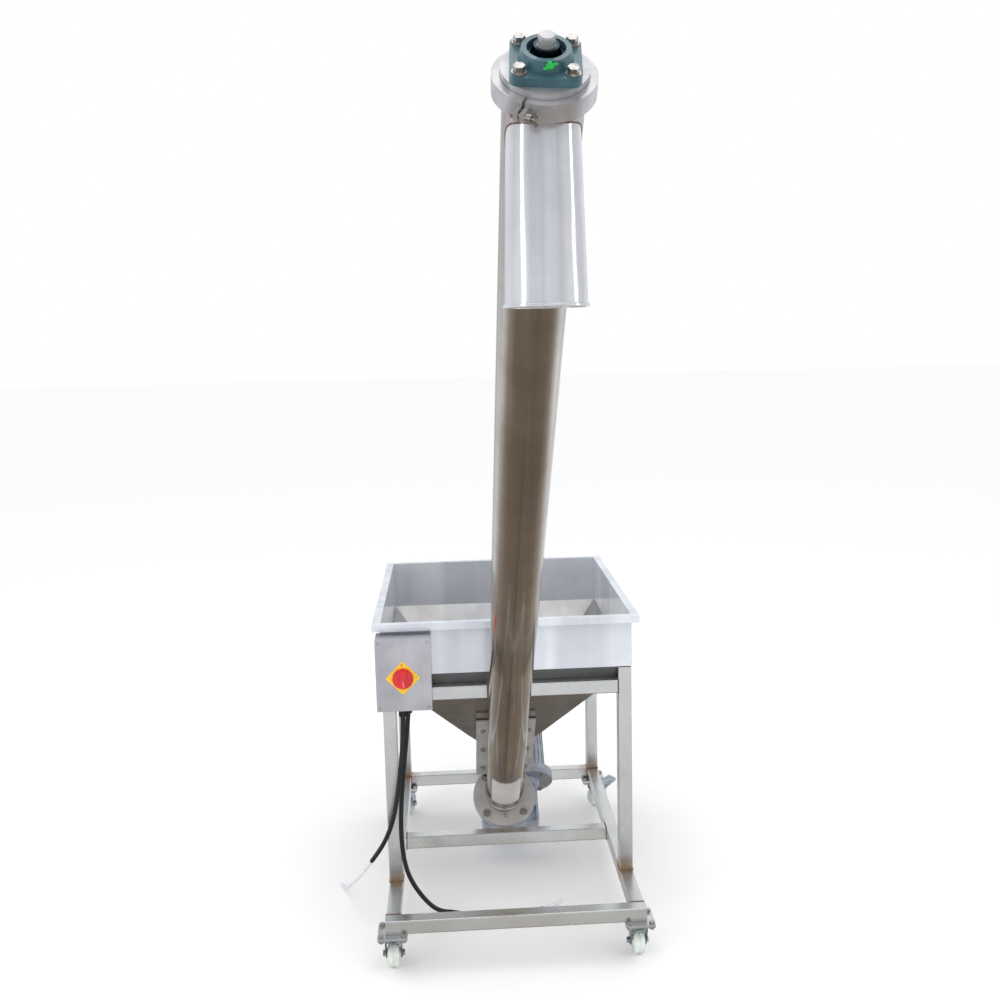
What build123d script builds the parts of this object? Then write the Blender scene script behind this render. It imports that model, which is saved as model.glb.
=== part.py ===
from build123d import *
import os
from math import cos, pi, radians, sin, sqrt, tan

# Inclined grain auger: a screw in a tube, fed by a hopper that stands on a castered frame.
# Millimetres, +Z up. While it is built, x = 0 is the auger's own plane, y = 0 the front face of the
# front legs and z = 0 the floor. At the end every piece is shifted so that the origin lies on the
# floor, in the middle of the machine's outline without its loose cables.

# Driving dimensions: frame of square tube
frame_width = 700
frame_depth = 989
leg_setback = 213
rail_size = 38
rail_wall = 1.5
rail_corner = 3
leg_top = 760
upper_rail_top = 720
mid_rail_setback = 269
stub_gap = 60
end_cap_thickness = 2

# Hopper
wall_height = 150
sheet = 2
rim_flange = 20
rim_lip = 20
side_run = 0.873
front_run = 0.85
rail_clearance = 0.4
leg_relief = 3

# Auger tube, measured along its own axis from the floor
incline = 45
axis_foot = 614
auger_od = 114
auger_wall = 2
flange_start = 300
flange_thickness = 10
flange_od = 200
flange_bolt_circle = 166
flange_bolt = 12
tube_end = 2849
fit_gap = 0.05

# Inlet saddle and chute flange on the tube's upper side
saddle_from = 334
saddle_to = 734
saddle_width = 176
saddle_rise = 5
saddle_plate = 5
gasket_thickness = 2
inlet_width = 90
inlet_margin = 25
inlet_wall = 2
chute_bolt_span = 136
chute_bolt_pitch = 139
chute_bolt = 8

# Clean-out at the lower end
cleanout_from = 330
cleanout_to = 545
cleanout_angle = 48
cleanout_thickness = 2
band_from = 350
band_width = 34
band_reach = 15
band_thickness = 2.5

# Discharge spout
spout_before_end = 29
spout_drop = 267
spout_top_radius = 51
spout_bottom_radius = 58.6
spout_wall = 1.5
spout_bead = 2.5

# Head
ferrule_rim = 8
ferrule_thickness = 8
ferrule_hub = 12
clamp_gasket = 3
clamp_wall = 6.5
clamp_lip = 3.7
clamp_angle = 27
clamp_split = 4
clamp_ear = 6
clamp_bolt_reach = 10
clamp_bolt_radius = 3
wing_length = 13
wing_angle = 50
cap_collar = 14
cap_collar_step = 3
head_turn = -3.6
bearing_square = 95
bearing_bolt_span = 70
bearing_plate = 13
bearing_height = 28
bearing_hub_radius = 33
bearing_seat_radius = 26
bearing_bolt = 10
shaft_stub = 46

# Screw
shaft_radius = 12.5
shaft_end_radius = 12
core_radius = 21
flight_gap = 3
flight_pitch = 100
flight_thickness = 3
flight_from = 335
flight_to_spout = 150
core_start = 318

# Worm gearbox, its output on the auger's axis
gear_centre = 180
gear_half_width = 60
gear_half_length = 72
gear_left = 73
gear_right = 112
gear_wall = 10
mesh_gap = 0.4
worm_tip = 24
worm_wheel_tip = 45.6
worm_cap_radius = 25
worm_wheel_teeth = 30

# Motor
motor_flange_radius = 100
motor_flange_thickness = 16
motor_face = 106
motor_length = 214
motor_shell_radius = 75.5
motor_fin_radius = 78
motor_fins = 26
motor_bore = 66
motor_shaft_radius = 9.5
fan_cover_length = 62

# Casters
wheel_radius = 37.5
wheel_width = 30
pad_thickness = 6
race_height = 11
plate_size = 80
plate_thickness = 3
plate_bolt_span = 60
plate_bolt = 8
caster_inset = 17
caster_front_inset = 21
trail = 20
axle_radius = 6
pedal_clearance = 5
pedal_angle = 39.3
fork_inner = 19.5
fork_thickness = 3
crown_radius = 26
crown_over_wheel = 17
crown_thickness = 5
kingpin_radius = 6
swivel_ball = 2.4

# Control box and cables
box_overhang = 10
box_width = 150
box_height = 200
box_depth = 75
box_bottom = 682
box_sheet = 1.5
knob_inset = 73
knob_z = 775
knob_radius = 28
knob_length = 26
plate_side = 66
gland_length = 22
sleeve_radius = 6.5
tail_radius = 4.5
cable_left_gland = (68, -52)
cable_right_gland = (82, -26)

# Places worked out from them
y_front = -leg_setback
y_back = frame_depth - leg_setback
half_width = frame_width / 2
crown_top = 2 * wheel_radius + crown_over_wheel
caster_height = crown_top + race_height + plate_thickness
deck_height = caster_height + pad_thickness
base_top = deck_height + rail_size
hopper_top = leg_top + wall_height
auger_radius = auger_od / 2
saddle_height = auger_radius + saddle_rise
tube_start = flange_start + flange_thickness
ferrule_top = tube_end + ferrule_thickness
ferrule_od = auger_od + 2 * ferrule_rim
clamp_radius = ferrule_od / 2 + clamp_wall
cap_collar_radius = auger_radius + cap_collar_step
spout_along = tube_end - spout_before_end
spout_back = round(spout_along * cos(radians(incline)) - axis_foot)
spout_bottom = axis_foot + spout_back - spout_drop
flight_radius = auger_radius - auger_wall - flight_gap
flight_turns = int((spout_along - flight_to_spout - flight_from) / flight_pitch)
worm_offset = worm_wheel_tip + worm_tip + mesh_gap
cap_start = ferrule_top + clamp_gasket
cap_disc_top = cap_start + ferrule_thickness
bearing_base = cap_disc_top + cap_collar
shaft_top = bearing_base + shaft_stub
chute_face = saddle_height + saddle_plate + gasket_thickness + saddle_plate

nodes = {}


def add(name, *shapes):
    """Keep each solid of the shapes under the node's name."""
    kept = nodes.setdefault(name, [])
    for shape in shapes:
        kept.extend(shape.solids())


def block(x0, x1, y0, y1, z0, z1):
    """Box between two corners."""
    return Pos((x0 + x1) / 2, (y0 + y1) / 2, (z0 + z1) / 2) * Box(x1 - x0, y1 - y0, z1 - z0)


def rod(radius, z0, z1):
    """Round bar along Z."""
    return Pos(0, 0, (z0 + z1) / 2) * Cylinder(radius, z1 - z0)


def ring(outer, inner, z0, z1):
    """Round tube along Z."""
    return rod(outer, z0, z1) - rod(inner, z0 - 1, z1 + 1)


def prism(points, x0, x1):
    """Outline in the YZ plane, carried from x0 to x1."""
    face = Plane.YZ * make_face(Polyline(*points, close=True))
    return Pos(x0, 0, 0) * extrude(face, x1 - x0)


def plan_prism(points, z0, z1):
    """Outline in plan, carried from z0 to z1."""
    return Pos(0, 0, z0) * extrude(make_face(Polyline(*points, close=True)), z1 - z0)


def hexagon(across_flats, z0, z1):
    """Hexagonal bar along Z."""
    face = RegularPolygon(across_flats / 2, 6, major_radius=False)
    return Pos(0, 0, z0) * extrude(face, z1 - z0)


def bolt(size, grip_low, grip_high, head_up=True, nut=True, head=None, flats=None):
    """Hex bolt along Z through a stack from grip_low to grip_high, with washer and nut."""
    head = head or 0.65 * size
    flats = flats or 1.6 * size
    radius = size / 2
    washer = 0.18 * size
    top = grip_high + washer + fit_gap
    shank_end = grip_low - (size if nut else 0)
    pieces = [rod(radius, shank_end, top) + hexagon(flats, top, top + head)]
    pieces.append(ring(size, radius + fit_gap, grip_high, grip_high + washer))
    if nut:
        pieces.append(hexagon(flats, grip_low - 0.8 * size, grip_low) - rod(radius + fit_gap, -1e4, 1e4))
    if not head_up:
        middle = grip_low + grip_high
        pieces = [Pos(0, 0, middle) * Rot(180, 0, 0) * piece for piece in pieces]
    return pieces


def square_tube(length):
    """Square tube along Z from z = 0, round at its corners."""
    outer = RectangleRounded(rail_size, rail_size, rail_corner)
    inner_size = rail_size - 2 * rail_wall
    inner = RectangleRounded(inner_size, inner_size, rail_corner - rail_wall)
    return extrude(outer - inner, length)


def rail_along_x(x0, x1, y0, z0):
    """Tube across the frame: y0 and z0 are its front and lower faces."""
    half = rail_size / 2
    return Pos(x0, y0 + half, z0 + half) * Rot(0, 90, 0) * square_tube(x1 - x0)


def rail_along_y(x0, y0, y1, z0):
    half = rail_size / 2
    return Pos(x0 + half, y0, z0 + half) * Rot(-90, 0, 0) * square_tube(y1 - y0)


def post(x0, y0, z0, z1):
    half = rail_size / 2
    return Pos(x0 + half, y0 + half, z0) * square_tube(z1 - z0)


def corners(half_x, half_y):
    """The four corner places of a rectangle."""
    return [(sx * half_x, sy * half_y) for sx in (-1, 1) for sy in (-1, 1)]


# The auger's own frame: local x across, local y away from the floor and back, local z up the tube
auger = Location(Plane(
    origin=(0, axis_foot, 0), x_dir=(1, 0, 0),
    z_dir=(0, -cos(radians(incline)), sin(radians(incline)))))
inlet_from = saddle_from + inlet_margin
inlet_to = saddle_to - inlet_margin


def auger_point(across, height, along):
    """Place in the building frame of a point given in the auger's own frame."""
    c = cos(radians(incline))
    s = sin(radians(incline))
    return Vector(across, axis_foot - along * c + height * s, along * s + height * c)


# Hopper body: a pyramid that runs into the chute, made as outer form minus inner form
chute_back = auger_point(0, chute_face, inlet_from - inlet_wall)
back_run = (y_back - chute_back.Y) / (leg_top - chute_back.Z)
chute_half = inlet_width / 2 + inlet_wall
pyramid_drop = (half_width - chute_half) / side_run


def pyramid(inset):
    """The hopper below its walls, with its planes moved in by inset (out if negative)."""
    side = inset * sqrt(1 + side_run ** 2)
    front = inset * sqrt(1 + front_run ** 2)
    back = inset * sqrt(1 + back_run ** 2)
    sections = []
    for drop in (0, pyramid_drop):
        x = half_width - side - side_run * drop
        y0 = front + front_run * drop
        y1 = y_back - back - back_run * drop
        outline = Polyline((-x, y0), (x, y0), (x, y1), (-x, y1), close=True)
        sections.append(Pos(0, 0, leg_top - drop) * make_face(outline))
    return loft(sections)


def chute_form(inset, low):
    """The chute between the pyramid and the plane low above the auger's axis."""
    half = chute_half - inset
    body = auger * block(-half, half, low, 200, inlet_from - inlet_wall + inset, inlet_to + inlet_wall - inset)
    shift = inset * sqrt(1 + back_run ** 2)
    foot = y_back - shift - back_run * (leg_top - 200)
    ahead = [(y_front, leg_top), (y_back - shift, leg_top), (foot, 200), (y_front, 200)]
    return body & prism(ahead, -half_width, half_width)


chute_outer = chute_form(0, chute_face)
hopper_shell = (pyramid(0) + chute_outer) - (pyramid(sheet) + chute_form(inlet_wall, chute_face - 20))
hopper_shell -= Pos(0, 0, leg_top) * block(-1000, 1000, -1000, 1000, 0, 10)
hopper_shell -= auger * block(-300, 300, chute_face - 300, chute_face, -200, 2000)
pyramid_corner_y0 = front_run * pyramid_drop
pyramid_corner_y1 = y_back - back_run * pyramid_drop
inner_corners = [(-chute_half, pyramid_corner_y0), (chute_half, pyramid_corner_y0),
                 (chute_half, pyramid_corner_y1), (-chute_half, pyramid_corner_y1)]
outer_corners = [(-half_width, 0), (half_width, 0), (half_width, y_back), (-half_width, y_back)]
slopes = hopper_shell - chute_outer
for side in range(4):
    after = (side + 1) % 4
    sector = [outer_corners[side], outer_corners[after], inner_corners[after], inner_corners[side]]
    add("hopper_slopes", slopes & plan_prism(sector, 0, leg_top))
chute = hopper_shell & chute_outer
chute_flange = block(-saddle_width / 2, saddle_width / 2, chute_face - saddle_plate, chute_face,
                     saddle_from, saddle_to)
chute_flange -= block(-inlet_width / 2, inlet_width / 2, 0, 200, inlet_from, inlet_to)
bolt_places = [(side * chute_bolt_span / 2, (saddle_from + saddle_to) / 2 + row * chute_bolt_pitch)
               for side in (-1, 1) for row in (-1, 0, 1)]


def across_plate(shape, x, along):
    """Turn a piece made along Z so that it stands on the chute flange."""
    return Pos(x, 0, along) * Rot(-90, 0, 0) * shape


for x, along in bolt_places:
    chute_flange -= across_plate(rod(chute_bolt / 2 + 0.5, 0, 200), x, along)
shield_top = leg_top - auger_point(0, chute_face, saddle_to).Y / front_run
shield_foot = auger_point(0, chute_face, saddle_to)
shield = block(-saddle_width / 2, saddle_width / 2, shield_foot.Y, shield_foot.Y + sheet,
               shield_foot.Z, leg_top - 100)
shield -= pyramid(-fit_gap)
shield -= auger * block(-300, 300, -300, chute_face, -200, 2000)
add("hopper_chute", chute, auger * chute_flange, shield)

wall_top = hopper_top
add("hopper_walls", block(-half_width, half_width, 0, sheet, leg_top, wall_top))
add("hopper_walls", block(-half_width, half_width, y_back - sheet, y_back, leg_top, wall_top))
for x in (-half_width, half_width - sheet):
    add("hopper_walls", block(x, x + sheet, sheet, y_back - sheet, leg_top, wall_top))
rim_x = half_width + rim_flange
rim_outer = [(-rim_x, -rim_flange), (rim_x, -rim_flange),
             (rim_x, y_back + rim_flange), (-rim_x, y_back + rim_flange)]
rim = block(-rim_x, rim_x, -rim_flange, y_back + rim_flange, wall_top - rim_lip, wall_top)
rim -= block(-rim_x + sheet, rim_x - sheet, -rim_flange + sheet, y_back + rim_flange - sheet,
             wall_top - rim_lip - 1, wall_top - sheet)
rim -= block(-half_width, half_width, 0, y_back, wall_top - rim_lip - 1, wall_top + 1)
for side in range(4):
    after = (side + 1) % 4
    sector = [outer_corners[side], outer_corners[after], rim_outer[after], rim_outer[side]]
    add("hopper_rim", rim & plan_prism(sector, wall_top - rim_lip - 1, wall_top + 1))

# Frame
hopper_room = pyramid(-rail_clearance)
left = -half_width
right = half_width - rail_size
add("base_rails", rail_along_x(left, half_width, y_front, deck_height))
for x in (left, right):
    add("base_rails", rail_along_y(x, y_front + rail_size, y_back, deck_height))
for y in (mid_rail_setback, y_back - rail_size):
    add("base_rails", rail_along_x(left + rail_size, right, y, deck_height))
for x in (left, right):
    for y in (0, y_back - rail_size):
        add("legs", post(x, y, base_top, leg_top - leg_relief) - hopper_room)
upper_low = upper_rail_top - rail_size
for x in (left, right):
    add("upper_rails", rail_along_y(x, rail_size, y_back - rail_size, upper_low) - hopper_room)
add("upper_rails", rail_along_x(left + rail_size, right, y_back - rail_size, upper_low) - hopper_room)
add("upper_rails", rail_along_x(left + rail_size, -stub_gap, 0, upper_low) - hopper_room)
add("upper_rails", rail_along_x(stub_gap, right, 0, upper_low) - hopper_room)

# Plates: one under each frame corner for its caster, and one over each open rail end
caster_x = half_width - caster_inset
front_caster_y = y_front + caster_front_inset
back_caster_y = y_back - caster_front_inset
casters = {
    "front_left": (-caster_x, front_caster_y, 0),
    "front_right": (caster_x, front_caster_y, 0),
    "rear_left": (-caster_x, back_caster_y, -20),
    "rear_right": (caster_x, back_caster_y, -60),
}
plate_holes = corners(plate_bolt_span / 2, plate_bolt_span / 2)
pad_face = RectangleRounded(plate_size, plate_size, 8)
for x, y in plate_holes:
    pad_face -= Pos(x, y) * Circle(plate_bolt / 2 + 0.5)
for x, y, turn in casters.values():
    add("frame_plates", Pos(x, y, caster_height) * extrude(pad_face, pad_thickness))
cap_face = RectangleRounded(rail_size, rail_size, rail_corner)
cap = extrude(cap_face, end_cap_thickness)
half_rail = rail_size / 2
for sign in (-1, 1):
    add("frame_plates", Pos(sign * half_width, y_front + half_rail, deck_height + half_rail)
        * Rot(0, sign * 90, 0) * cap)
    add("frame_plates", Pos(sign * (half_width - half_rail), y_back, deck_height + half_rail)
        * Rot(-90, 0, 0) * cap)
    add("frame_plates", Pos(sign * (stub_gap - end_cap_thickness), half_rail, upper_low + half_rail)
        * Rot(0, sign * 90, 0) * cap - hopper_room)

# Casters, made round their own swivel axis with the wheel trailing along +Y
plate_low = caster_height - plate_thickness
race_low = crown_top + 2 * swivel_ball + 0.2
plate = extrude(pad_face, plate_thickness)
caster_plate = Pos(0, 0, plate_low) * plate + ring(27, 18, race_low, plate_low)
kingpin = rod(kingpin_radius, crown_top - crown_thickness - 1, plate_low)
kingpin_head = crown_top - crown_thickness - 0.5
kingpin += rod(1.6 * kingpin_radius, kingpin_head - 4, kingpin_head)
ball_circle = 21
fork_outer = fork_inner + fork_thickness
crown = rod(crown_radius, crown_top - crown_thickness, crown_top)
crown += block(-fork_outer, fork_outer, -15, 22, crown_top - crown_thickness, crown_top - 1)
leg_outline = Polyline(
    (-15, crown_top - 1), (22, crown_top - 1), (trail + 13, wheel_radius), (trail - 13, wheel_radius), close=True)
fork_leg = extrude(make_face(leg_outline), fork_thickness)
fork_leg += Pos(trail, wheel_radius, 0) * extrude(Circle(13), fork_thickness)
fork = crown - rod(kingpin_radius + fit_gap, 0, 200)
for x in (-fork_outer, fork_inner):
    fork += Pos(x, 0, 0) * Rot(0, 0, 90) * Rot(90, 0, 0) * fork_leg
axle_place = Pos(0, trail, wheel_radius) * Rot(0, 90, 0)
fork -= axle_place * rod(axle_radius + fit_gap, -60, 60)
axle = axle_place * (rod(axle_radius, -fork_outer - 8, fork_outer + 2) + hexagon(16, fork_outer, fork_outer + 6))
axle_nut = axle_place * (hexagon(16, -fork_outer - 7, -fork_outer) - rod(axle_radius + fit_gap, -60, 60))
half_wheel = wheel_width / 2
hub_half = fork_inner - 1
tread = Polyline(
    (axle_radius + fit_gap, -hub_half), (14, -hub_half), (15, -half_wheel + 4), (27, -half_wheel + 4),
    (29, -half_wheel), (wheel_radius - 5, -half_wheel), (wheel_radius - 1, -half_wheel + 5),
    (wheel_radius, -3), (wheel_radius - 2, -1.2), (wheel_radius - 2, 1.2), (wheel_radius, 3),
    (wheel_radius - 1, half_wheel - 5), (wheel_radius - 5, half_wheel), (29, half_wheel),
    (27, half_wheel - 4), (15, half_wheel - 4), (14, hub_half), (axle_radius + fit_gap, hub_half), close=True)
wheel = axle_place * revolve(Plane.XZ * make_face(tread), Axis.Z)
pedal_pin_y = trail + (wheel_radius + pedal_clearance) * sin(radians(pedal_angle))
pedal_pin_z = wheel_radius + (wheel_radius + pedal_clearance) * cos(radians(pedal_angle))
pedal_pin = Pos(0, pedal_pin_y, pedal_pin_z) * Rot(0, 90, 0)
pedal_width = 2 * fork_inner - 1
pedal_side = [(pedal_pin_y - 6, pedal_pin_z - 5), (pedal_pin_y + 8, pedal_pin_z - 5), (pedal_pin_y + 44, pedal_pin_z + 10),
              (pedal_pin_y + 46, pedal_pin_z + 18), (pedal_pin_y + 40, pedal_pin_z + 19),
              (pedal_pin_y + 6, pedal_pin_z + 6), (pedal_pin_y - 6, pedal_pin_z + 6)]
pedal = prism(pedal_side, -pedal_width / 2, pedal_width / 2)
pedal_inside = [(pedal_pin_y - 7, pedal_pin_z - 9), (pedal_pin_y + 12, pedal_pin_z - 9),
                (pedal_pin_y + 60, pedal_pin_z + 11), (pedal_pin_y + 60, pedal_pin_z + 19),
                (pedal_pin_y + 42, pedal_pin_z + 16), (pedal_pin_y + 6, pedal_pin_z + 3), (pedal_pin_y - 7, pedal_pin_z + 3)]
pedal -= prism(pedal_inside, -pedal_width / 2 + 2, pedal_width / 2 - 2)
pedal -= pedal_pin * rod(3 + fit_gap, -60, 60)
ear = [(18, crown_top - 6), (pedal_pin_y, pedal_pin_z + 6), (pedal_pin_y + 6, pedal_pin_z), (pedal_pin_y, pedal_pin_z - 6),
       (trail + 8, wheel_radius + 10), (trail - 8, wheel_radius + 20)]
brake_fork = fork
for x in (-fork_outer, fork_inner):
    brake_fork += prism(ear, x, x + fork_thickness)
brake_fork -= pedal_pin * rod(3 + fit_gap, -60, 60)
brake_fork -= axle_place * rod(axle_radius + fit_gap, -60, 60)
brake_pin = pedal_pin * (rod(3, -fork_outer - 1, fork_outer + 1) + rod(5, fork_outer, fork_outer + 2))
for name, (x, y, turn) in casters.items():
    place = Pos(x, y, 0) * Rot(0, 0, turn)
    flat = Pos(x, y, 0)
    add("caster_plates", flat * caster_plate, flat * kingpin)
    for number in range(12):
        angle = 2 * pi * number / 12
        add("caster_balls", flat * Pos(ball_circle * cos(angle), ball_circle * sin(angle), crown_top + swivel_ball + 0.1)
            * Sphere(swivel_ball))
    for hole_x, hole_y in plate_holes:
        add("caster_bolts", *[Pos(x + hole_x, y + hole_y, 0) * piece
                              for piece in bolt(plate_bolt, plate_low, deck_height)])
    braked = name == "rear_right"
    add("caster_fork_" + name, place * (brake_fork if braked else fork), place * axle, place * axle_nut)
    if braked:
        add("caster_fork_" + name, place * brake_pin)
        add("brake_pedal", place * pedal)
    add("caster_wheel_" + name, place * wheel)

# Auger tube with its inlet and its outlet
spout_place = Pos(0, -spout_back, 0)
spout_hole = spout_place * rod(spout_top_radius - spout_wall, spout_bottom, axis_foot + spout_back)
tube = ring(auger_radius, auger_radius - auger_wall, tube_start, tube_end)
tube -= block(-inlet_width / 2, inlet_width / 2, 0, 100, inlet_from, inlet_to)
clean_half = radians(cleanout_angle - 6)
clean_x = auger_radius * sin(clean_half)
tube -= block(-clean_x, clean_x, -100, 0, cleanout_from + 12, cleanout_to - 12)
add("auger_tube", auger * tube - spout_hole)

lower_flange = ring(flange_od / 2, shaft_radius + 4, flange_start, tube_start)
flange_bolts = [(flange_bolt_circle / 2 * cos(radians(a)), flange_bolt_circle / 2 * sin(radians(a)))
                for a in (45, 135, 225, 315)]
for x, y in flange_bolts:
    lower_flange -= Pos(x, y, 0) * rod(flange_bolt / 2 + 0.5, 0, 1000)
ferrule = ring(ferrule_od / 2, auger_radius - auger_wall, tube_end, ferrule_top)
ferrule_sleeve = ring(auger_radius + auger_wall, auger_radius + fit_gap, tube_end - ferrule_hub, tube_end)
add("tube_flanges", auger * lower_flange, auger * (ferrule + ferrule_sleeve))

saddle = block(-chute_half, chute_half, 0, saddle_height, inlet_from - inlet_wall, inlet_to + inlet_wall)
saddle += block(-saddle_width / 2, saddle_width / 2, saddle_height, saddle_height + saddle_plate, saddle_from, saddle_to)
saddle -= block(-inlet_width / 2, inlet_width / 2, -1, 200, inlet_from, inlet_to)
saddle -= rod(auger_radius + fit_gap, 0, 2000)
for x, along in bolt_places:
    saddle -= across_plate(rod(chute_bolt / 2 + 0.5, 0, 200), x, along)
add("inlet_saddle", auger * saddle)
for x, along in bolt_places:
    pieces = bolt(chute_bolt, saddle_height, chute_face, head_up=False, nut=False)
    add("chute_bolts", *[auger * across_plate(piece, x, along) for piece in pieces])

# Clean-out cover, its band and T bolt
cover_outer = auger_radius + fit_gap + cleanout_thickness
cover = ring(cover_outer, auger_radius + fit_gap, cleanout_from, cleanout_to)
edge = 80 * tan(radians(cleanout_angle))
wedge = plan_prism([(0, 0), (-edge, -80), (edge, -80)], cleanout_from - 1, cleanout_to + 1)
add("cleanout_cover", auger * (cover & wedge))
band_outer = cover_outer + fit_gap + band_thickness
band = ring(band_outer, auger_radius + fit_gap, band_from, band_from + band_width)
band -= block(-100, 100, band_reach, 100, band_from - 1, band_from + band_width + 1)
relief_edge = 80 * tan(radians(cleanout_angle + 1))
relief = plan_prism([(0, 0), (-relief_edge, -80), (relief_edge, -80)], band_from - 1, band_from + band_width + 1)
band -= relief & rod(cover_outer + fit_gap, band_from - 1, band_from + band_width + 1)
band -= block(-2, 2, -100, 0, band_from - 1, band_from + band_width + 1)
lug = block(2, 5, -band_outer - 12, -band_outer + 1, band_from + 3, band_from + band_width - 3)
band_mid = band_from + band_width / 2
lug_hole = Pos(0, -band_outer - 6, band_mid) * Rot(0, 90, 0) * rod(2.5 + fit_gap, -30, 30)
band += lug + mirror(lug, Plane.YZ)
band -= lug_hole
tee = Pos(0, -band_outer - 6, band_mid) * Rot(0, 90, 0) * (rod(2.5, -9, 9) + hexagon(8, 5.1, 9) + hexagon(8, -9, -5.1))
latch = block(-3, 3, -band_outer - 16, -band_outer - 8.6, band_from - 18, band_from + band_width - 4)
latch += Pos(0, -band_outer - 13, band_from - 18) * Rot(0, 90, 0) * rod(5, -6, 6)
add("cleanout_band", auger * band, auger * tee, auger * latch)

# Discharge spout: a flared pipe let into the tube's underside, with a ring round its mouth
spout_low = spout_bottom + spout_bead
spout_high = axis_foot + spout_back - 2
spout_run = spout_high - spout_low
cone = Pos(0, 0, spout_low + spout_run / 2) * Cone(spout_bottom_radius, spout_top_radius, spout_run)
hollow = Pos(0, 0, spout_low + spout_run / 2) * Cone(
    spout_bottom_radius - spout_wall, spout_top_radius - spout_wall, spout_run + 0.01)
mouth = ring(spout_bottom_radius + spout_bead, spout_bottom_radius - spout_wall, spout_bottom, spout_bottom + 2 * spout_bead)
mouth = fillet(mouth.edges().filter_by(GeomType.CIRCLE).sort_by(SortBy.LENGTH)[-2:], 0.6 * spout_bead)
spout = spout_place * ((cone - hollow) + mouth)
add("discharge_spout", spout - auger * rod(auger_radius + fit_gap, 2000, 3200))

# Head: end cap, gasket, clamp ring, bearing
cap = rod(ferrule_od / 2, cap_start, cap_disc_top) + rod(cap_collar_radius, cap_disc_top, bearing_base)
cap -= rod(auger_radius - 12, cap_start - 1, cap_start + 5)
cap -= rod(shaft_radius + 4, 0, 5000)
cap_holes = corners(bearing_bolt_span / 2, bearing_bolt_span / 2)
for x, y in cap_holes:
    cap -= Pos(x, y, 0) * rod(bearing_bolt / 2 + fit_gap, bearing_base - 12, bearing_base + 1)
head = auger * Rot(0, 0, head_turn)
add("end_cap", head * cap)
lower_lip = tube_end - 0.3
upper_lip = cap_disc_top + 0.3
clamp = rod(clamp_radius, lower_lip - clamp_lip, upper_lip + clamp_lip)
clamp -= rod(ferrule_od / 2 + 0.3, lower_lip, upper_lip)
clamp -= rod(auger_radius + auger_wall + 0.5, lower_lip - 10, upper_lip)
clamp -= rod(cap_collar_radius + 0.5, lower_lip, upper_lip + 10)
clamp_mid = (lower_lip + upper_lip) / 2
clamp_half = (upper_lip - lower_lip) / 2 + clamp_lip
clamp_turn = Rot(0, 0, -clamp_angle)
bolt_place = Pos(0, -clamp_radius - clamp_bolt_reach, clamp_mid) * Rot(0, 90, 0)
halves = []
for sign in (-1, 1):
    half = clamp & block(min(0, sign * 100), max(0, sign * 100), -200, 200, lower_lip - 20, upper_lip + 20)
    half -= block(-clamp_split / 2, clamp_split / 2, -200, 0, lower_lip - 20, upper_lip + 20)
    half -= block(-0.2, 0.2, 0, 200, lower_lip - 20, upper_lip + 20)
    x0 = clamp_split / 2 if sign > 0 else -clamp_split / 2 - clamp_ear
    half += block(x0, x0 + clamp_ear, -clamp_radius - clamp_bolt_reach - 5, -clamp_radius + 3,
                  clamp_mid - 7, clamp_mid + 7)
    half -= bolt_place * rod(clamp_bolt_radius + 0.3, -50, 50)
    hinge_low = clamp_mid + 0.2 if sign > 0 else clamp_mid - clamp_half
    hinge_high = clamp_mid + clamp_half if sign > 0 else clamp_mid - 0.2
    knuckle = Pos(0, clamp_radius + 3, 0) * rod(5, hinge_low, hinge_high)
    knuckle += block(min(0.3 * sign, 5 * sign), max(0.3 * sign, 5 * sign), clamp_radius - 4, clamp_radius + 3,
                     hinge_low, hinge_high)
    half += knuckle
    half -= Pos(0, clamp_radius + 3, 0) * rod(2.5 + fit_gap, lower_lip - 20, upper_lip + 20)
    halves.append(half)
add("clamp_ring", *[auger * clamp_turn * half for half in halves])
pin_place = Pos(0, clamp_radius + 3, 0)
clamp_pin = pin_place * (rod(2.5, clamp_mid - clamp_half - 1, clamp_mid + clamp_half + 1)
                         + rod(4, clamp_mid + clamp_half, clamp_mid + clamp_half + 2))
ear_face = clamp_split / 2 + clamp_ear
clamp_bolt = bolt_place * (rod(clamp_bolt_radius, -ear_face - 1, ear_face + 14) + hexagon(10, -ear_face - 4, -ear_face))
add("clamp_bolt", auger * clamp_turn * clamp_pin, auger * clamp_turn * clamp_bolt)
wing = rod(5.5, ear_face + 0.3, ear_face + 8)
for sign in (-1, 1):
    arm = block(min(0, sign * wing_length), max(0, sign * wing_length), -1.5, 1.5, -3, 4)
    wing += Pos(0, 0, ear_face + 7) * Rot(0, -sign * wing_angle, 0) * arm
wing -= rod(clamp_bolt_radius + fit_gap, 0, 100)
add("clamp_wing_nut", auger * clamp_turn * bolt_place * wing)

housing_face = RectangleRounded(bearing_square, bearing_square, 13)
for x, y in cap_holes:
    housing_face -= Pos(x, y) * Circle(bearing_bolt / 2 + 0.6)
housing = Pos(0, 0, bearing_base) * extrude(housing_face, bearing_plate)
hub_base = bearing_base + bearing_plate
housing += Pos(0, 0, hub_base + (bearing_height - bearing_plate) / 2) * Cone(
    bearing_hub_radius + 4, bearing_hub_radius, bearing_height - bearing_plate)
housing -= rod(bearing_seat_radius + fit_gap, bearing_base + 5, bearing_base + 100)
housing -= rod(bearing_seat_radius - 5, bearing_base - 1, bearing_base + 100)
add("bearing_housing", head * housing)
ring_low = bearing_base + 5
ring_high = ring_low + 16
ring_mid = (ring_low + ring_high) / 2
inner_race = shaft_radius + 4.4
ball = 2
outer_race = inner_race + 2 * ball + 0.2
add("bearing_outer_ring", auger * ring(bearing_seat_radius, outer_race, ring_low, ring_high))
for number in range(12):
    angle = 2 * pi * number / 12
    pitch = inner_race + ball + 0.1
    add("bearing_outer_ring", auger * Pos(pitch * cos(angle), pitch * sin(angle), ring_mid) * Sphere(ball))
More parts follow.
